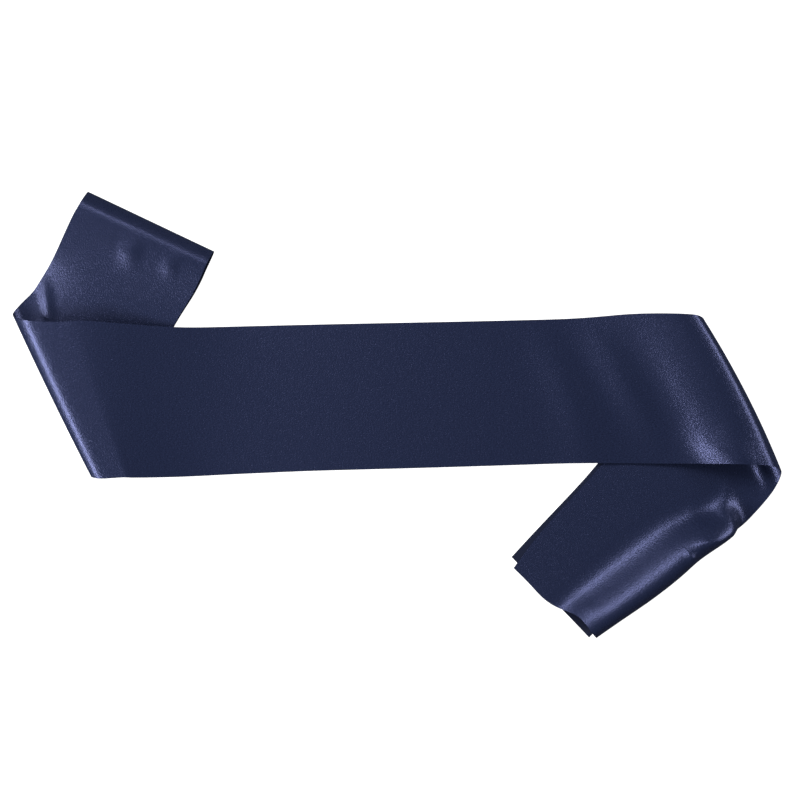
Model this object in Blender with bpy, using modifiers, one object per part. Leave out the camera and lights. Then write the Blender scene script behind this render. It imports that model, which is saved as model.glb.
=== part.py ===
"""A satin sash: one long ribbon folded in half and laid in a Z on a table.

The ribbon is doubled: its middle is the loop at the upper left, and its two cut ends lie
together at the lower right. So every stretch has two layers. The inner layer is on top in
both tails and hidden under the outer one in the band, because each slanting turn of the
doubled ribbon swaps them.

Lengths are in millimetres until a mesh is made. X runs along the band, Y across it, Z up
from the table, and the origin is on the table at the middle of the sash.
"""

from collections import namedtuple

import bpy
import numpy as np

METRES = 0.001

NAVY = (0.02, 0.025, 0.09)
DEEP_NAVY = (0.018, 0.022, 0.08)
PALE_NAVY = (0.03, 0.035, 0.11)

# Driving sizes.
CLOTH = 1.0  # wall that stands for one layer of satin
GAP = 0.3  # between two layers
DRAWN_BACK = 0.2  # each end of a stretch, so that its wall clears the next one at the seam
LAYER = CLOTH + GAP
ON_TABLE = CLOTH / 2  # height of the middle of a layer that lies on the table
ON_TAIL = ON_TABLE + LAYER  # the second layer up, in a tail
ON_BOTH = ON_TAIL + LAYER  # the third layer up, where the band crosses a tail
ROWS_A_SPAN = 3
FLAT_ROWS_A_SPAN = 2
COLUMNS = 10
PROFILE_STEPS = 24  # to a row of an arch, when its length is measured
LATE_FALL = 6  # how late an arched section falls from one edge to the other

# One section across the ribbon: its ends at the upper and the lower edge of the band
# (carried along into the tails), the height of the cloth there, how far the middle of the
# section bows to the right, how high the cloth arches between its edges, and the share of
# the width where the arch starts.
Section = namedtuple(
    "Section", "upper lower high_upper high_lower bow arch arch_from", defaults=(0, 0, 0.45)
)

# A place where the ribbon rolls over on itself: the ends of its nose, the height of the roll
# at each end, its depth for each millimetre of height, how far the edges slide along the
# nose for each millimetre wound, the same two for the foot under the nose, which side of the
# nose the cloth lies on, the height of its foot, and the bow of the nose.
Turn = namedtuple(
    "Turn",
    "upper lower height_upper height_lower depth slide_upper slide_lower "
    "foot_depth foot_slide side foot bow",
)
LOOP = Turn((-213, 153), (-126.5, 112), 14, 13, 1.2, 0, 0, 1.2, 0, -1, ON_TABLE, 0)
LEFT_TURN = Turn(
    (-262.8, 69.5), (-209.8, -41.5), 15, 10, 1.9, 1.0, 0.76, 0.66, 0.34, 1, ON_TAIL, -0.8
)
RIGHT_TURN = Turn(
    (209.3, 65.3), (262, -38.5), 14, 18, 1.05, -0.64, -0.63, 0.9, -0.62, -1, ON_TAIL, 3
)

# The rolled cloth in profile, from its foot round the nose to its crest, as shares of the
# roll's height: in from the nose, wound along from the nose, and up from the foot.
RollPoint = namedtuple("RollPoint", "inward wound up")
ROLL = (
    RollPoint(1.75, -1.73, 0.0),
    RollPoint(0.97, -1.29, 0.05),
    RollPoint(0.22, -0.66, 0.20),
    RollPoint(-0.10, 0.0, 0.46),
    RollPoint(0.09, 0.35, 0.77),
    RollPoint(0.21, 0.55, 0.91),
    RollPoint(0.42, 0.80, 0.97),
    RollPoint(1.10, 1.45, 1.0),
)
# The loop rolls over more squarely than the two turns.
LOOP_ROLL = (
    RollPoint(0.80, 0, 0.0),
    RollPoint(0.42, 0, 0.0),
    RollPoint(0.10, 0, 0.04),
    RollPoint(-0.04, 0, 0.20),
    RollPoint(-0.03, 0, 0.44),
    RollPoint(0.14, 0, 0.70),
    RollPoint(0.44, 0, 0.97),
    RollPoint(0.62, 0, 1.03),
)

# The inner layer between the rolls.
UPPER_TAIL = (
    Section((-221.2, 138), (-133.5, 96.5), 13.6, 12.6),
    Section((-227.5, 125.5), (-140.5, 82), 11.5, 9),
    Section((-236, 107.5), (-155.5, 61), 8, 3.5),
    Section((-243, 97), (-170.5, 26.5), 4, ON_TAIL),
)
BAND = (
    Section((-219.5, 65), (-185, -43), 15.5, 10.5),
    Section((-199.5, 63.5), (-170, -43), 13.5, 7),
    Section((-176, 61.5), (-142.5, -42.5), 9.5, 2),
    Section((-150.5, 60), (-116.5, -41), 5.5, ON_TABLE),
    Section((-125.5, 60.5), (-91, -40), 2, ON_TABLE),
    Section((-94.5, 61.5), (-60, -38.5), ON_TABLE, ON_TABLE),
    Section((-30, 63), (5, -37), ON_TABLE, ON_TABLE),
    Section((50, 64.5), (85, -34.5), ON_TABLE, ON_TABLE),
    Section((89, 65.5), (112, -33.5), ON_TABLE, 0.8),
    Section((112.5, 66), (129.5, -33.2), ON_TABLE, 3),
    Section((135, 67.3), (153.5, -33.2), 1.5, ON_BOTH + 0.4),
    Section((152, 69), (194.5, -33.5), 5, 2.5),
    Section((168, 69.8), (221, -33), 9, 11),
)
LOWER_TAIL = (
    Section((179, 19.5), (239, -75.3), ON_TAIL, ON_TAIL, 0, 0, 0.70),
    Section((173, 11.5), (233.4, -79.2), ON_TAIL, ON_TAIL, 0, 14, 0.68),
    Section((160, -7), (225.8, -86), ON_TAIL, ON_TAIL, 0, 19, 0.62),
    Section((147, -26), (205.2, -98.6), ON_TAIL, ON_TAIL, 0, 20, 0.54),
    Section((137, -39), (197.6, -106.8), ON_TAIL, ON_TAIL, 0, 21, 0.48),
    Section((119, -58.5), (174.5, -125.4), ON_TAIL, ON_TABLE, 0, 21),
    Section((97, -82), (151.6, -140.6), ON_TAIL, ON_TABLE, -1, 21),
    Section((79.9, -105.6), (136, -152.8), ON_TAIL, ON_TABLE, -2, 18),
)

# The outer layer of the lower tail lies flat on the table, and its right side curls up
# inside the arch.
LOWER_TAIL_UNDER = (
    Section((172, 11), (226, -77), ON_TABLE, ON_TABLE),
    Section((138.5, -34), (196, -97), ON_TABLE, ON_TABLE, 0, 3),
    Section((116, -58), (170, -122), ON_TABLE, ON_TABLE, 0, 10),
    Section((94.5, -80.5), (147, -138), ON_TABLE, ON_TABLE, 0, 11),
    Section((78.5, -98), (132.5, -154), ON_TABLE, ON_TABLE, 0, 10),
)

# An arched section in profile, from where the arch starts to the lower edge, as shares of
# the arched width and of the arch's height.
ArchPoint = namedtuple("ArchPoint", "across up")
PUFF = (
    ArchPoint(0.00, 0.00),
    ArchPoint(0.12, 0.00),
    ArchPoint(0.22, 0.02),
    ArchPoint(0.31, 0.08),
    ArchPoint(0.39, 0.20),
    ArchPoint(0.47, 0.37),
    ArchPoint(0.56, 0.59),
    ArchPoint(0.64, 0.77),
    ArchPoint(0.72, 0.91),
    ArchPoint(0.80, 0.99),
    ArchPoint(0.89, 1.01),
    ArchPoint(0.97, 0.90),
    ArchPoint(1.03, 0.55),
    ArchPoint(1.00, 0.00),
)
CURL = (
    ArchPoint(0.00, 0.00),
    ArchPoint(0.45, 0.00),
    ArchPoint(0.85, 0.02),
    ArchPoint(1.02, 0.20),
    ArchPoint(1.02, 0.70),
    ArchPoint(0.90, 1.00),
)
ARCH_WIDTH = 48.0  # of the widest arch
FULL_ARCH = 16.0  # from this height on, an arched section takes its profile in full

# Where one stretch of the inner layer passes into the next, counted in sections.
ROLL_ROWS = len(ROLL)
LEFT_FOOT = ROLL_ROWS + len(UPPER_TAIL)
LEFT_CREST = LEFT_FOOT + ROLL_ROWS - 1
RIGHT_CREST = LEFT_CREST + len(BAND) + 1
RIGHT_FOOT = RIGHT_CREST + ROLL_ROWS - 1


def roll_sections(turn, shape=ROLL):
    """The sections of one turn, from the foot under it round its nose to its crest."""
    upper = np.array(turn.upper, float)
    lower = np.array(turn.lower, float)
    along = (lower - upper) / np.linalg.norm(lower - upper)
    inward = np.array((-along[1], along[0])) * turn.side
    sections = []
    for point in shape:
        ends = []
        for nose, height, slide in (
            (upper, turn.height_upper, turn.slide_upper),
            (lower, turn.height_lower, turn.slide_lower),
        ):
            depth = turn.depth
            if point.wound < 0:
                depth, slide = turn.foot_depth, turn.foot_slide
            reach = depth * point.inward * inward + point.wound * slide * along
            ends.append(nose + height * reach)
        sections.append(
            Section(
                ends[0],
                ends[1],
                turn.foot + point.up * turn.height_upper,
                turn.foot + point.up * turn.height_lower,
                bow=turn.bow,
            )
        )
    return sections


def profile_at(table, share):
    """Across and up, as shares, for each share of the arched cloth, smoothly between rows."""
    rows = np.array(table, float)
    curve = smooth_path(rows, np.linspace(0, len(rows) - 1, PROFILE_STEPS * len(rows)))
    steps = np.linalg.norm(np.diff(curve, axis=0) * (ARCH_WIDTH, FULL_ARCH), axis=1)
    run = np.concatenate([[0], np.cumsum(steps)])
    return np.interp(share, run / run[-1], curve[:, 0]), np.interp(
        share, run / run[-1], curve[:, 1]
    )


def smooth_path(rows, places):
    """A uniform cubic B-spline through the ends of the rows and close to all the others."""
    rows = np.asarray(rows, float)
    before = 2 * rows[:1] - rows[1:2]
    after = 2 * rows[-1:] - rows[-2:-1]
    held = np.concatenate([before, rows, after])
    span = np.clip(np.floor(places).astype(int), 0, len(rows) - 2)
    part = (places - span)[:, None]
    weights = (
        (1 - part) ** 3 / 6,
        (3 * part**3 - 6 * part**2 + 4) / 6,
        (-3 * part**3 + 3 * part**2 + 3 * part + 1) / 6,
        part**3 / 6,
    )
    return sum(weight * held[span + step] for step, weight in enumerate(weights))


def surface(sections, first, last, profile=PUFF, rows_a_span=ROWS_A_SPAN):
    """A grid of points on the sheet between two places, counted in sections."""
    rows = np.array([(*s.upper, *s.lower, *s[2:]) for s in sections])
    places = np.linspace(first, last, 1 + round(rows_a_span * (last - first)))
    values = smooth_path(rows, places)[:, None, :]
    cloth = np.linspace(0, 1, COLUMNS + 1)
    start = values[..., 8]
    arched = np.clip((cloth - start) / (1 - start), 0, 1)
    arched_across, arched_up = profile_at(profile, arched)
    full = np.clip(values[..., 7] / FULL_ARCH, 0, 1)
    across = cloth + full * (1 - start) * (arched_across - arched)
    bow = values[..., 6] * 4 * cloth * (1 - cloth)
    x = values[..., 0] + across * (values[..., 2] - values[..., 0]) + bow
    y = values[..., 1] + across * (values[..., 3] - values[..., 1])
    # An arched section keeps its upper edge's height until its lower side comes down.
    fall = cloth + full * (cloth**LATE_FALL - cloth)
    level = values[..., 4] + fall * (values[..., 5] - values[..., 4])
    z = level + values[..., 7] * arched_up
    return np.stack([x, y, z], axis=-1)


def outward(points):
    """The unit normal of a grid at each point, on the side where the outer layer lies."""
    along = np.gradient(points, axis=0)
    across = np.gradient(points, axis=1)
    normal = np.cross(across, along)
    return normal / np.linalg.norm(normal, axis=-1, keepdims=True)


def trimmed(points):
    """The grid with both its ends drawn back, to leave a gap at each seam."""
    points = points.copy()
    for end, inside in ((0, 1), (-1, -2)):
        step = points[inside] - points[end]
        points[end] += step * DRAWN_BACK / np.linalg.norm(step, axis=-1, keepdims=True)
    return points


def cloth_wall(name, points, colour, collection):
    """Makes a grid of points, the middle of a layer, into a wall one cloth thick."""
    rows, columns = points.shape[:2]
    faces = [
        (r * columns + c, r * columns + c + 1, (r + 1) * columns + c + 1, (r + 1) * columns + c)
        for r in range(rows - 1)
        for c in range(columns - 1)
    ]
    mesh = bpy.data.meshes.new(name)
    mesh.from_pydata((points.reshape(-1, 3) * METRES).tolist(), [], faces)
    mesh.shade_smooth()
    wall = bpy.data.objects.new(name, mesh)
    collection.objects.link(wall)
    solidify = wall.modifiers.new("thickness", "SOLIDIFY")
    solidify.thickness = CLOTH * METRES
    solidify.offset = 0
    mesh.materials.append(satin(name, colour))
    return wall


def satin(name, colour):
    """Navy satin, a little apart in tone for each stretch."""
    material = bpy.data.materials.new("satin_" + name)
    material.use_nodes = True
    shader = material.node_tree.nodes["Principled BSDF"]
    shader.inputs["Base Color"].default_value = (*colour, 1)
    shader.inputs["Roughness"].default_value = 0.4
    shader.inputs["Metallic"].default_value = 0.0
    return material


def clear_scene():
    for leftover in list(bpy.data.objects):
        bpy.data.objects.remove(leftover)


def build():
    clear_scene()
    collection = bpy.data.collections.new("satin_sash")
    bpy.context.scene.collection.children.link(collection)

    inner = (
        roll_sections(LOOP, LOOP_ROLL)
        + list(UPPER_TAIL)
        + roll_sections(LEFT_TURN)
        + list(BAND)
        + roll_sections(RIGHT_TURN)[::-1]
        + list(LOWER_TAIL)
    )
    # Each stretch of the inner layer ends on the crest of a turn, where the band hides it.
    end = len(inner) - 1
    upper_top = surface(inner, 0, LEFT_CREST)
    band_under = surface(inner, LEFT_CREST, RIGHT_CREST)
    lower_top = surface(inner, RIGHT_CREST, end)

    # Over the band and round both turns, the outer layer is the inner one moved out.
    wrapped = surface(inner, LEFT_FOOT, RIGHT_FOOT)
    band_top = wrapped + LAYER * outward(wrapped)

    # In the tails the outer layer lies flat on the table, from the foot of each turn on.
    upper_under = surface(inner, ROLL_ROWS, LEFT_FOOT, rows_a_span=FLAT_ROWS_A_SPAN)
    upper_under[0] = upper_top[0]
    upper_under[..., 2] = ON_TABLE
    foot = inner[RIGHT_FOOT]._replace(high_upper=ON_TABLE, high_lower=ON_TABLE)
    under = [foot, *LOWER_TAIL_UNDER]
    lower_under = surface(under, 0, len(under) - 1, profile=CURL)
    lower_under[0] = band_top[-1]

    for name, points, colour in (
        ("upper_tail_top", upper_top, NAVY),
        ("upper_tail_under", upper_under, PALE_NAVY),
        ("band_top", band_top, DEEP_NAVY),
        ("band_under", band_under, PALE_NAVY),
        ("lower_tail_top", lower_top, NAVY),
        ("lower_tail_under", lower_under, PALE_NAVY),
    ):
        cloth_wall(name, trimmed(points), colour, collection)


build()
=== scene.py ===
"""The looks of a satin sash: one wide navy ribbon, doubled and laid in a Z on a table.

The doubled ribbon has its loop at the upper left and its two cut ends at the lower right.
The inner layer is on top in both tails and hidden under the outer one in the band. The
satin face is always outside, so the matte reverse shows only where two layers part.

Lengths are in millimetres until a mesh is made. X runs along the band, Y across it and Z up
from the table, as in the frame.
"""

import math
from collections import namedtuple

import bpy
import numpy as np
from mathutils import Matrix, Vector


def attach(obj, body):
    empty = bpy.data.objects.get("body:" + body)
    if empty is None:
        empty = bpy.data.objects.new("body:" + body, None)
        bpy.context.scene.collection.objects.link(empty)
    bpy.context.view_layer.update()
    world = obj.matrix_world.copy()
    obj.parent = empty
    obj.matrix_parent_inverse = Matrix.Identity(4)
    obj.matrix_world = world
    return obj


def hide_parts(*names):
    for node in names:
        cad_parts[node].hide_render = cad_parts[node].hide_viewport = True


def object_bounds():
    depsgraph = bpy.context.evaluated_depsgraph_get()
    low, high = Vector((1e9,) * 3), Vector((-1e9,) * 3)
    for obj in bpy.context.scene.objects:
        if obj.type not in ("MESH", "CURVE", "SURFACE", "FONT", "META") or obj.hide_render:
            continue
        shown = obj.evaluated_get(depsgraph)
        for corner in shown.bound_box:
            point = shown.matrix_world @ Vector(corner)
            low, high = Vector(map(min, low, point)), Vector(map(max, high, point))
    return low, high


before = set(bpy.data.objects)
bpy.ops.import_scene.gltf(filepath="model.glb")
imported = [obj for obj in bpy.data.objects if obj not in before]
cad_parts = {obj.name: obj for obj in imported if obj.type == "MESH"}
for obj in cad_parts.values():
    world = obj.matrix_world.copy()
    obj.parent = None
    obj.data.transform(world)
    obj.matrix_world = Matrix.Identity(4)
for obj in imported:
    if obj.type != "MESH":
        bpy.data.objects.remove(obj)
CAD_BOX = [[round(c, 6) for c in corner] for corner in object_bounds()]

MM = 0.001

# The cloth.
RIBBON = 100.0  # width between the selvedges
CLOTH = 0.25  # one layer of satin, drawn a little thicker than the real 0.15
LAYER = CLOTH + 0.12  # from the middle of one layer to the middle of the next

# Heights of the middle of a layer that lies flat.
ON_TABLE = CLOTH / 2 + 0.03
ON_TAIL = ON_TABLE + LAYER
ON_BOTH = ON_TAIL + LAYER

# The mesh.
MESH_STEP = 1.6  # between rows, and between columns
BEND_STEP = 5.0  # flat cloth that one radian of bending counts for
PLACES_A_SECTION = 40  # where the spacing of the rows is measured
GAUGE_LINES = 5  # lines along the ribbon on which it is measured
PROFILE_STEPS = 24  # to each row of an arch's table
CREASE_STEPS = 97  # points along the middle line of a crease

# A section is a line across the ribbon, from its upper edge to its lower one, and their
# heights. A bow bends it sideways. An arch lifts it, from a share of its width to its lower
# edge.
Section = namedtuple(
    "Section", "upper lower high_upper high_lower bow arch arch_from", defaults=(0, 0, 0.45)
)
# A turn is a roll whose nose runs from upper to lower. Its depth and its slide along the
# nose go with its height, and differ in the foot, which is the part under the nose. Its side
# says which way it opens, and foot is the height of its lowest row.
Turn = namedtuple(
    "Turn",
    "upper lower height_upper height_lower depth slide_upper slide_lower "
    "foot_depth foot_slide side foot bow",
)
LOOP = Turn((-213, 153), (-126.5, 112), 14, 13, 1.2, 0, 0, 1.2, 0, -1, ON_TABLE, 0)
LEFT_TURN = Turn(
    (-262.8, 69.5), (-209.8, -41.5), 15, 10, 1.9, 1.0, 0.76, 0.66, 0.34, 1, ON_TAIL, -0.8
)
RIGHT_TURN = Turn(
    (209.3, 65.3), (262, -38.5), 14, 18, 1.05, -0.64, -0.63, 0.9, -0.62, -1, ON_TAIL, 3
)

# Inward from the nose and wound along it, as shares of the turn's depth and slide, and up, as
# a share of its height. The rows that are wound by less than zero are the foot.
RollPoint = namedtuple("RollPoint", "inward wound up")
ROLL = (
    RollPoint(1.75, -1.73, 0.0),
    RollPoint(0.97, -1.29, 0.05),
    RollPoint(0.22, -0.66, 0.20),
    RollPoint(-0.10, 0.0, 0.46),
    RollPoint(0.09, 0.35, 0.77),
    RollPoint(0.21, 0.55, 0.91),
    RollPoint(0.42, 0.80, 0.97),
    RollPoint(1.10, 1.45, 1.0),
)
LOOP_ROLL = (
    RollPoint(0.80, 0, 0.0),
    RollPoint(0.42, 0, 0.0),
    RollPoint(0.10, 0, 0.04),
    RollPoint(-0.04, 0, 0.20),
    RollPoint(-0.03, 0, 0.44),
    RollPoint(0.14, 0, 0.70),
    RollPoint(0.44, 0, 0.97),
    RollPoint(0.62, 0, 1.03),
)

UPPER_TAIL = (
    Section((-221.2, 138), (-133.5, 96.5), 13.6, 12.6),
    Section((-227.5, 125.5), (-140.5, 82), 11.5, 9),
    Section((-236, 107.5), (-155.5, 61), 8, 3.5),
    Section((-243, 97), (-170.5, 26.5), 4, ON_TAIL),
)
BAND = (
    Section((-219.5, 65), (-185, -43), 15.5, 10.5),
    Section((-199.5, 63.5), (-170, -43), 13.5, 7),
    Section((-176, 61.5), (-142.5, -42.5), 9.5, 2),
    Section((-150.5, 60), (-116.5, -41), 5.5, ON_TABLE),
    Section((-125.5, 60.5), (-91, -40), 2, ON_TABLE),
    Section((-94.5, 61.5), (-60, -38.5), ON_TABLE, ON_TABLE),
    Section((-30, 63), (5, -37), ON_TABLE, ON_TABLE),
    Section((50, 64.5), (85, -34.5), ON_TABLE, ON_TABLE),
    Section((89, 65.5), (112, -33.5), ON_TABLE, 0.8),
    Section((112.5, 66), (129.5, -33.2), ON_TABLE, 3),
    Section((135, 67.3), (153.5, -33.2), 1.5, ON_BOTH + 0.4),
    Section((152, 69), (194.5, -33.5), 5, 2.5),
    Section((168, 69.8), (221, -33), 9, 11),
)
LOWER_TAIL = (
    Section((179, 19.5), (239, -75.3), ON_TAIL, ON_TAIL, 0, 0, 0.70),
    Section((173, 11.5), (233.4, -79.2), ON_TAIL, ON_TAIL, 0, 14, 0.68),
    Section((160, -7), (225.8, -86), ON_TAIL, ON_TAIL, 0, 19, 0.62),
    Section((147, -26), (205.2, -98.6), ON_TAIL, ON_TAIL, 0, 20, 0.54),
    Section((137, -39), (197.6, -106.8), ON_TAIL, ON_TAIL, 0, 21, 0.48),
    Section((119, -58.5), (174.5, -125.4), ON_TAIL, ON_TABLE, 0, 21),
    Section((97, -82), (151.6, -140.6), ON_TAIL, ON_TABLE, -1, 21),
    Section((79.9, -105.6), (136, -152.8), ON_TAIL, ON_TABLE, -2, 18),
)
LOWER_TAIL_UNDER = (
    Section((172, 11), (226, -77), ON_TABLE, ON_TABLE),
    Section((138.5, -34), (196, -97), ON_TABLE, ON_TABLE, 0, 3),
    Section((116, -58), (170, -122), ON_TABLE, ON_TABLE, 0, 10),
    Section((94.5, -80.5), (147, -138), ON_TABLE, ON_TABLE, 0, 11),
    Section((78.5, -98), (132.5, -154), ON_TABLE, ON_TABLE, 0, 10),
)

# An arch's profile, in shares of the arched width and of its height: the puff of the layer
# that shows, and the curl of the layer under it.
ArchPoint = namedtuple("ArchPoint", "across up")
PUFF = (
    ArchPoint(0.00, 0.00),
    ArchPoint(0.12, 0.00),
    ArchPoint(0.22, 0.02),
    ArchPoint(0.31, 0.08),
    ArchPoint(0.39, 0.20),
    ArchPoint(0.47, 0.37),
    ArchPoint(0.56, 0.59),
    ArchPoint(0.64, 0.77),
    ArchPoint(0.72, 0.91),
    ArchPoint(0.80, 0.99),
    ArchPoint(0.89, 1.01),
    ArchPoint(0.97, 0.90),
    ArchPoint(1.03, 0.55),
    ArchPoint(1.00, 0.00),
)
CURL = (
    ArchPoint(0.00, 0.00),
    ArchPoint(0.45, 0.00),
    ArchPoint(0.85, 0.02),
    ArchPoint(1.02, 0.20),
    ArchPoint(1.02, 0.70),
    ArchPoint(0.90, 1.00),
)
ARCH_WIDTH = 48.0  # of cloth, in a usual arch
FULL_ARCH = 16.0  # the height from which an arch has its whole profile
LATE_FALL = 6  # the higher, the closer to the lower edge an arch keeps the upper one's level

# Where the parts of the inner ribbon meet, counted in sections from the loop's foot.
TAIL_START = len(LOOP_ROLL)
LEFT_FOOT = TAIL_START + len(UPPER_TAIL)
LEFT_CREST = LEFT_FOOT + len(ROLL) - 1
RIGHT_CREST = LEFT_CREST + len(BAND) + 1
RIGHT_FOOT = RIGHT_CREST + len(ROLL) - 1


# ---------------------------------------------------------------- the ribbon's form


def roll_sections(turn, shape=ROLL):
    """The sections of one turn, from the foot under it round its nose to its crest."""
    upper = np.array(turn.upper, float)
    lower = np.array(turn.lower, float)
    along = (lower - upper) / np.linalg.norm(lower - upper)
    inward = np.array((-along[1], along[0])) * turn.side
    sections = []
    for point in shape:
        ends = []
        for nose, height, slide in (
            (upper, turn.height_upper, turn.slide_upper),
            (lower, turn.height_lower, turn.slide_lower),
        ):
            depth = turn.depth
            if point.wound < 0:
                depth, slide = turn.foot_depth, turn.foot_slide
            reach = depth * point.inward * inward + point.wound * slide * along
            ends.append(nose + height * reach)
        sections.append(
            Section(
                ends[0],
                ends[1],
                turn.foot + point.up * turn.height_upper,
                turn.foot + point.up * turn.height_lower,
                bow=turn.bow,
            )
        )
    return sections


def smooth_path(rows, places):
    """A uniform cubic B-spline through the ends of the rows and close to all the others."""
    rows = np.asarray(rows, float)
    before = 2 * rows[:1] - rows[1:2]
    after = 2 * rows[-1:] - rows[-2:-1]
    held = np.concatenate([before, rows, after])
    span = np.clip(np.floor(places).astype(int), 0, len(rows) - 2)
    part = (places - span)[:, None]
    weights = (
        (1 - part) ** 3 / 6,
        (3 * part**3 - 6 * part**2 + 4) / 6,
        (-3 * part**3 + 3 * part**2 + 3 * part + 1) / 6,
        part**3 / 6,
    )
    return sum(weight * held[span + step] for step, weight in enumerate(weights))


def profile_at(table, share):
    """Across and up, as shares, for each share of the arched cloth, smoothly between rows."""
    rows = np.array(table, float)
    curve = smooth_path(rows, np.linspace(0, len(rows) - 1, PROFILE_STEPS * len(rows)))
    steps = np.linalg.norm(np.diff(curve, axis=0) * (ARCH_WIDTH, FULL_ARCH), axis=1)
    run = np.concatenate([[0], np.cumsum(steps)])
    return [np.interp(share, run / run[-1], column) for column in curve.T]


def surface_at(rows, places, cloth, profile):
    """Points on the sheet at these places along it and these shares of its width."""
    upper_x, upper_y, lower_x, lower_y, high_upper, high_lower, bow, arch, arch_from = (
        smooth_path(rows, places).T[..., None]
    )
    arched = np.clip((cloth - arch_from) / (1 - arch_from), 0, 1)
    arched_across, arched_up = profile_at(profile, arched)
    full = np.clip(arch / FULL_ARCH, 0, 1)
    across = cloth + full * (1 - arch_from) * (arched_across - arched)
    x = upper_x + across * (lower_x - upper_x) + bow * 4 * cloth * (1 - cloth)
    y = upper_y + across * (lower_y - upper_y)
    fall = cloth + full * (cloth**LATE_FALL - cloth)
    z = high_upper + fall * (high_lower - high_upper) + arch * arched_up
    return np.stack([x, y, z], axis=-1)


def even_places(rows, first, last, profile):
    """Places along the sheet a mesh step apart, closer together where the cloth bends."""
    places = np.linspace(first, last, 1 + round(PLACES_A_SECTION * (last - first)))
    lines = surface_at(rows, places, np.linspace(0, 1, GAUGE_LINES), profile)
    steps = np.diff(lines, axis=0)
    lengths = np.linalg.norm(steps, axis=-1)
    heading = steps / lengths[..., None]
    turned = np.arccos(np.clip((heading[1:] * heading[:-1]).sum(-1), -1, 1))
    cost = lengths.max(axis=1)
    cost[1:] += BEND_STEP * turned.max(axis=1)
    run = np.concatenate([[0], np.cumsum(cost)])
    count = 1 + math.ceil(run[-1] / MESH_STEP)
    return np.interp(np.linspace(0, run[-1], count), run, places)


def surface(sections, first, last, profile=PUFF):
    """A grid of points on the sheet between two places, counted in sections."""
    rows = np.array([(*s.upper, *s.lower, *s[2:]) for s in sections])
    places = even_places(rows, first, last, profile)
    cloth = np.linspace(0, 1, 1 + round(RIBBON / MESH_STEP))
    return surface_at(rows, places, cloth, profile)


def outward(points):
    """The unit normal of a grid at each point, on the side where the outer layer lies."""
    along = np.gradient(points, axis=0)
    across = np.gradient(points, axis=1)
    normal = np.cross(across, along)
    return normal / np.linalg.norm(normal, axis=-1, keepdims=True)


# ---------------------------------------------------------------- creases

# A soft ridge, or a trough where its rise is below zero, along a curve from start to end
# that bends towards its middle. Its width is how far from its line it has all but died away.
Crease = namedtuple("Crease", "start middle end rise width")
UPPER_TAIL_CREASES = (
    Crease((-194, 115), (-183, 111), (-173, 107), 1.2, 17),
    Crease((-164, 106), (-156, 102), (-148, 98), 0.9, 14),
    Crease((-246, 102), (-242, 82), (-236, 44), 1.7, 8),
)
BAND_CREASES = (
    Crease((166, 80), (204, 14), (230, -44), 1.2, 25),
    Crease((118, 78), (160, 22), (194, -46), 3.0, 24),
    Crease((84, 78), (118, 18), (146, -42), 1.6, 26),
    Crease((192, -2), (223, -30), (252, -44), 3.6, 22),
)
LOWER_TAIL_CREASES = (
    Crease((200, -68), (218, -72), (238, -75), -3.4, 16),
    Crease((241, -18), (249, -36), (261, -62), 2.0, 8),
    Crease((236, -80), (218, -90), (198, -87), 1.8, 6),
    Crease((232, -90), (216, -97), (202, -94), -1.8, 7),
    Crease((195, -90), (201, -98), (206, -108), 1.4, 5),
)

# A pull in the plane of the table that dies away over its reach.
Tug = namedtuple("Tug", "place reach shift")
LOWER_TAIL_TUGS = (
    Tug((102, -126), 13, (-0.9, -1.3)),
    Tug((125, -139.5), 12, (2.2, 4.6)),
)


def tugged(points, tugs):
    """The grid with these pulls, added up."""
    points = points.copy()
    for tug in tugs:
        away = np.linalg.norm(points[..., :2] - tug.place, axis=-1, keepdims=True)
        points[..., :2] += np.exp(-((away / tug.reach) ** 2)) * tug.shift
    return points


def creased(points, creases, satin_outward):
    """The grid with these creases raised where its satin face looks up."""
    up = outward(points)[..., 2] * (1 if satin_outward else -1)
    points = points.copy()
    step = np.linspace(0, 1, CREASE_STEPS)
    for crease in creases:
        start, middle, end = (np.array(place, float) for place in crease[:3])
        line = (
            np.outer((1 - step) ** 2, start)
            + np.outer(2 * step * (1 - step), middle)
            + np.outer(step**2, end)
        )
        away = np.linalg.norm(points[..., None, :2] - line, axis=-1)
        nearest = step[away.argmin(axis=-1)]
        taper = np.sin(math.pi * nearest) ** 2
        fall = np.exp(-((2 * away.min(axis=-1) / crease.width) ** 2))
        points[..., 2] += crease.rise * taper * fall * np.clip(up, 0, 1)
    return points


# ---------------------------------------------------------------- pieces


def crisp_rim(mesh, rows, columns):
    """Keeps the selvedges and cut ends crisp, so that the gloss doesn't roll over them."""
    ends = np.empty(2 * len(mesh.edges), np.int32)
    mesh.edges.foreach_get("vertices", ends)
    row, column = np.divmod(ends.reshape(-1, 2), columns)
    rim = sum(
        (place == edge).all(axis=1)
        for place, edge in ((row, 0), (row, rows - 1), (column, 0), (column, columns - 1))
    )
    sharp = mesh.attributes.new("sharp_edge", "BOOLEAN", "EDGE")
    sharp.data.foreach_set("value", rim > 0)


def lay_cloth_map(mesh, points, quads):
    """Maps the cloth in millimetres, across and along, and gives back its length."""
    columns = points.shape[1]
    middle = points[:, columns // 2]
    run = np.concatenate([[0], np.cumsum(np.linalg.norm(np.diff(middle, axis=0), axis=1))])
    across = np.linspace(0, RIBBON, columns)
    cloth_map = np.stack(np.meshgrid(across, run), axis=-1).reshape(-1, 2)
    layer = mesh.uv_layers.new(name="cloth")
    layer.uv.foreach_set("vector", cloth_map[quads.ravel()].astype(np.float32).ravel())
    return run[-1]


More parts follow.
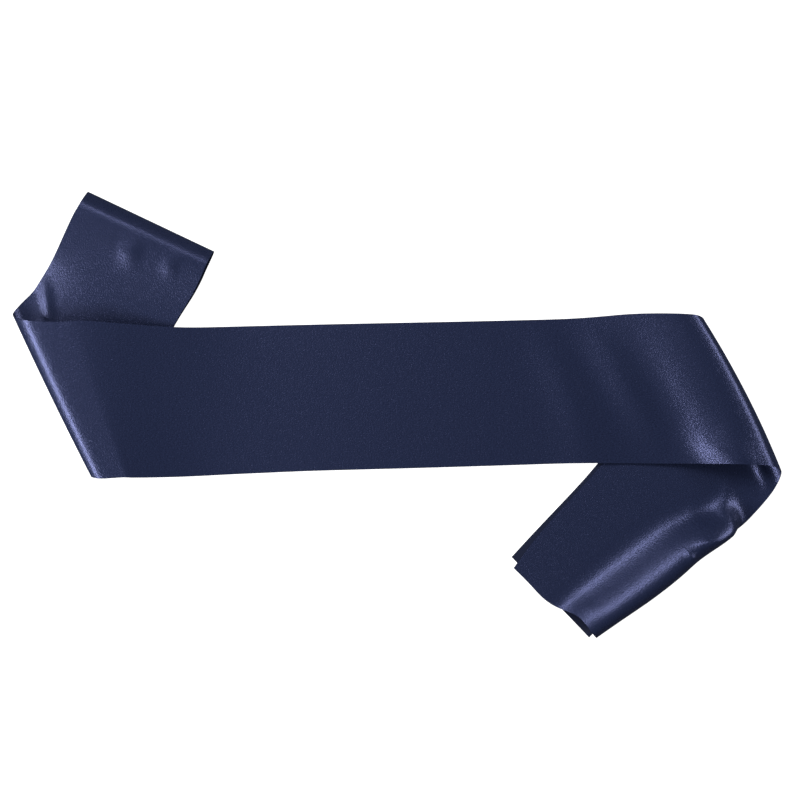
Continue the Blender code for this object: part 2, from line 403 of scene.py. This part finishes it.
def cloth_piece(name, points, satin_outward, materials):
    """One stretch of ribbon, and its length: a thin wall whose satin face is on one side, with
    the reverse on the other side and round its rim."""
    rows, columns = points.shape[:2]
    corners = np.arange(rows * columns).reshape(rows, columns)
    quads = np.stack(
        [corners[:-1, :-1], corners[:-1, 1:], corners[1:, 1:], corners[1:, :-1]], axis=-1
    ).reshape(-1, 4)
    if not satin_outward:
        quads = quads[:, ::-1]
    mesh = bpy.data.meshes.new(name)
    mesh.from_pydata((points.reshape(-1, 3) * MM).tolist(), [], quads.tolist())
    mesh.shade_smooth()
    crisp_rim(mesh, rows, columns)
    length = lay_cloth_map(mesh, points, quads)
    for material in materials:
        mesh.materials.append(material)
    piece = bpy.data.objects.new("satin_" + name, mesh)
    bpy.context.scene.collection.objects.link(piece)
    wall = piece.modifiers.new("thickness", "SOLIDIFY")
    wall.thickness = CLOTH * MM
    wall.offset = 0
    wall.material_offset = 1
    wall.material_offset_rim = 1
    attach(piece, "root")
    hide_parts(name)
    return piece, length


# ---------------------------------------------------------------- finishes


def linear(colour):
    """A six-digit sRGB hex colour as linear red, green, blue and alpha."""
    channels = [int(colour[i : i + 2], 16) / 255 for i in (0, 2, 4)]
    return (
        *(c / 12.92 if c <= 0.04045 else ((c + 0.055) / 1.055) ** 2.4 for c in channels),
        1,
    )


def add_node(tree, kind, inputs=(), **settings):
    """Adds a node with its settings, and gives its inputs values or links."""
    node = tree.nodes.new(kind)
    for name, value in settings.items():
        setattr(node, name, value)
    for name, value in dict(inputs).items():
        socket = node.inputs[name]
        if isinstance(name, str):
            # A mix node has sockets of one name for each kind of data: take the one in use.
            socket = next(s for s in node.inputs if s.name == name and s.enabled)
        if isinstance(value, bpy.types.NodeSocket):
            tree.links.new(value, socket)
        else:
            socket.default_value = value
    return node


def mixed_colour(node):
    """A mix node's output of the kind of data in use."""
    return next(s for s in node.outputs if s.enabled)


def new_material(name):
    """An empty material, its tree and its output."""
    material = bpy.data.materials.new(name)
    material.use_nodes = True
    tree = material.node_tree
    tree.nodes.clear()
    return material, tree, add_node(tree, "ShaderNodeOutputMaterial")


def woven_satin():
    """Polyester satin, woven with long floats of bright thread that lie side by side: a deep
    navy with a pale, silky gloss that breaks up into a fine grain."""
    material, tree, output = new_material("polyester_satin_face")
    cloth = add_node(tree, "ShaderNodeUVMap", uv_map="cloth")
    # Real floats are about 0.3 mm apart. These are about twice as coarse, so that they show,
    # and twice as long as wide.
    along_threads = add_node(
        tree,
        "ShaderNodeVectorMath",
        {0: cloth.outputs["UV"], 1: (1.0, 0.5, 1.0)},
        operation="MULTIPLY",
    )
    grain = add_node(
        tree,
        "ShaderNodeTexNoise",
        {"Vector": along_threads.outputs[0], "Scale": 1.5, "Detail": 2.0, "Roughness": 0.6},
    )
    # Single floats are a little lighter or darker, and shinier or duller, than the next.
    tone = add_node(
        tree,
        "ShaderNodeMapRange",
        {"Value": grain.outputs["Fac"], "From Min": 0.3, "From Max": 0.7},
    )
    colour = add_node(
        tree,
        "ShaderNodeMix",
        {"Factor": tone.outputs["Result"], "A": linear("0f1427"), "B": linear("20273f")},
        data_type="RGBA",
    )
    gloss = add_node(
        tree,
        "ShaderNodeMapRange",
        {"Value": tone.outputs["Result"], "To Min": 0.38, "To Max": 0.23},
    )
    bump = add_node(
        tree,
        "ShaderNodeBump",
        {"Height": grain.outputs["Fac"], "Strength": 0.8, "Distance": 0.0003},
    )
    tangent = add_node(tree, "ShaderNodeTangent", direction_type="UV_MAP", uv_map="cloth")
    # The gloss spreads across the ribbon and stays narrow along its threads.
    shader = add_node(
        tree,
        "ShaderNodeBsdfPrincipled",
        {
            "Base Color": mixed_colour(colour),
            "Roughness": gloss.outputs["Result"],
            "IOR": 1.5,
            "Specular IOR Level": 0.8,
            "Specular Tint": linear("b4bcff"),
            "Anisotropic": 0.5,
            "Normal": bump.outputs["Normal"],
            "Tangent": tangent.outputs["Tangent"],
        },
    )
    tree.links.new(shader.outputs["BSDF"], output.inputs["Surface"])
    return material


def satin_reverse():
    """The back of the same cloth, where the dull short threads lie: dark, with hardly any
    gloss, so that the openings between two layers look deep."""
    material, tree, output = new_material("polyester_satin_reverse")
    shader = add_node(
        tree,
        "ShaderNodeBsdfPrincipled",
        {"Base Color": linear("11172c"), "Roughness": 0.7, "Specular IOR Level": 0.15},
    )
    tree.links.new(shader.outputs["BSDF"], output.inputs["Surface"])
    return material


def white_paper():
    """Uncoated paper, pressed matte: an even white with no gloss. It glows a little, so that
    it stays white in soft light."""
    material, tree, output = new_material("matte_white_paper")
    shader = add_node(
        tree,
        "ShaderNodeBsdfPrincipled",
        {
            "Base Color": linear("a8a8a8"),
            "Roughness": 0.9,
            "Emission Color": linear("ffffff"),
            "Emission Strength": 1.0,
        },
    )
    tree.links.new(shader.outputs["BSDF"], output.inputs["Surface"])
    return material


# ---------------------------------------------------------------- the sash


def make_sash():
    """The six stretches. The inner ribbon runs from the loop's foot to its cut end; the outer
    one lies on it in the turns and the band, and on the table under both tails."""
    faces = (woven_satin(), satin_reverse())
    inner = (
        roll_sections(LOOP, LOOP_ROLL)
        + list(UPPER_TAIL)
        + roll_sections(LEFT_TURN)
        + list(BAND)
        + roll_sections(RIGHT_TURN)[::-1]
        + list(LOWER_TAIL)
    )
    end = len(inner) - 1
    upper_top = surface(inner, 0, LEFT_CREST)
    band_under = creased(surface(inner, LEFT_CREST, RIGHT_CREST), BAND_CREASES, True)
    lower_top = surface(inner, RIGHT_CREST, end)
    wrapped = creased(surface(inner, LEFT_FOOT, RIGHT_FOOT), BAND_CREASES, True)
    band_top = wrapped + LAYER * outward(wrapped)
    # Under the upper tail the outer ribbon lies flat, from the loop's foot to the left turn's.
    upper_under = surface(inner, TAIL_START, LEFT_FOOT)
    upper_under[0] = upper_top[0]
    upper_under[..., 2] = ON_TABLE
    # Under the lower tail it goes on from the right turn, in a lower arch.
    foot = inner[RIGHT_FOOT]._replace(high_upper=ON_TABLE, high_lower=ON_TABLE)
    under = [foot, *LOWER_TAIL_UNDER]
    lower_under = surface(under, 0, len(under) - 1, profile=CURL)
    lower_under[0] = band_top[-1]

    upper_top = creased(upper_top, UPPER_TAIL_CREASES, False)
    lower_top = tugged(creased(lower_top, LOWER_TAIL_CREASES, False), LOWER_TAIL_TUGS)

    for name, points, satin_outward, rests_on in (
        ("upper_tail_under", upper_under, True, ()),
        ("lower_tail_under", lower_under, True, ()),
        ("band_under", band_under, False, ()),
        ("upper_tail_top", upper_top, False, ("satin_upper_tail_under",)),
        ("band_top", band_top, True, ("satin_band_under",)),
        ("lower_tail_top", lower_top, False, ("satin_lower_tail_under",)),
    ):
        piece, length = cloth_piece(name, points, satin_outward, faces)


# ---------------------------------------------------------------- table, light and camera

TABLE_HALF = 12.0  # half its side, in metres: its far edge shows only in very low views


def make_table():
    mesh = bpy.data.meshes.new("table_top")
    corners = [(TABLE_HALF * x, TABLE_HALF * y, 0) for x, y in ((-1, -1), (1, -1), (1, 1), (-1, 1))]
    mesh.from_pydata(corners, [], [(0, 1, 2, 3)])
    mesh.materials.append(white_paper())
    table = bpy.data.objects.new("table_top", mesh)
    table.location.z = CAD_BOX[0][2]
    # The rolled edges would mirror the lit table as a white line that real satin doesn't show.
    table.visible_glossy = False
    bpy.context.scene.collection.objects.link(table)


# White soft boxes that face the middle of the table, with their places and sizes in metres.
SoftBox = namedtuple("SoftBox", "name place size watts")
SOFT_BOXES = (
    SoftBox("left", (-1.3, -0.55, 0.85), (1.2, 0.3), 34),
    SoftBox("right", (1.3, 0.65, 0.85), (1.2, 0.35), 17),
    SoftBox("back_left", (-0.95, 1.1, 1.35), (1.2, 0.6), 28),
)


def make_lights():
    """The soft boxes, and a faint cool light from all round. Colours show as they are."""
    for box in SOFT_BOXES:
        light = bpy.data.lights.new(box.name + "_soft_box", "AREA")
        light.shape = "RECTANGLE"
        light.size, light.size_y = box.size
        light.energy = box.watts
        lamp = bpy.data.objects.new(light.name, light)
        lamp.location = box.place
        lamp.rotation_euler = (-Vector(box.place)).to_track_quat("-Z", "Y").to_euler()
        bpy.context.scene.collection.objects.link(lamp)
    world = bpy.data.worlds.new("studio")
    world.use_nodes = True
    background = world.node_tree.nodes["Background"]
    background.inputs["Color"].default_value = linear("e8ecf4")
    background.inputs["Strength"].default_value = 0.06
    bpy.context.scene.world = world
    bpy.context.scene.view_settings.view_transform = "Standard"


CAMERA_HEIGHT = 1300.0
VIEW_WIDTH = 552.0  # of the table, across the picture
AIM = (2.1, 9.9)  # from the middle of the sash's box


def make_camera():
    """A camera that looks straight down on the sash."""
    middle = [(low + high) / 2 for low, high in zip(*CAD_BOX)]
    camera = bpy.data.cameras.new("overhead")
    camera.sensor_width = 36.0
    camera.lens = camera.sensor_width * CAMERA_HEIGHT / VIEW_WIDTH
    stand = bpy.data.objects.new("overhead", camera)
    stand.location = (
        middle[0] + AIM[0] * MM,
        middle[1] + AIM[1] * MM,
        CAD_BOX[0][2] + CAMERA_HEIGHT * MM,
    )
    bpy.context.scene.collection.objects.link(stand)
    bpy.context.scene.camera = stand


make_sash()
make_table()
make_lights()
make_camera()
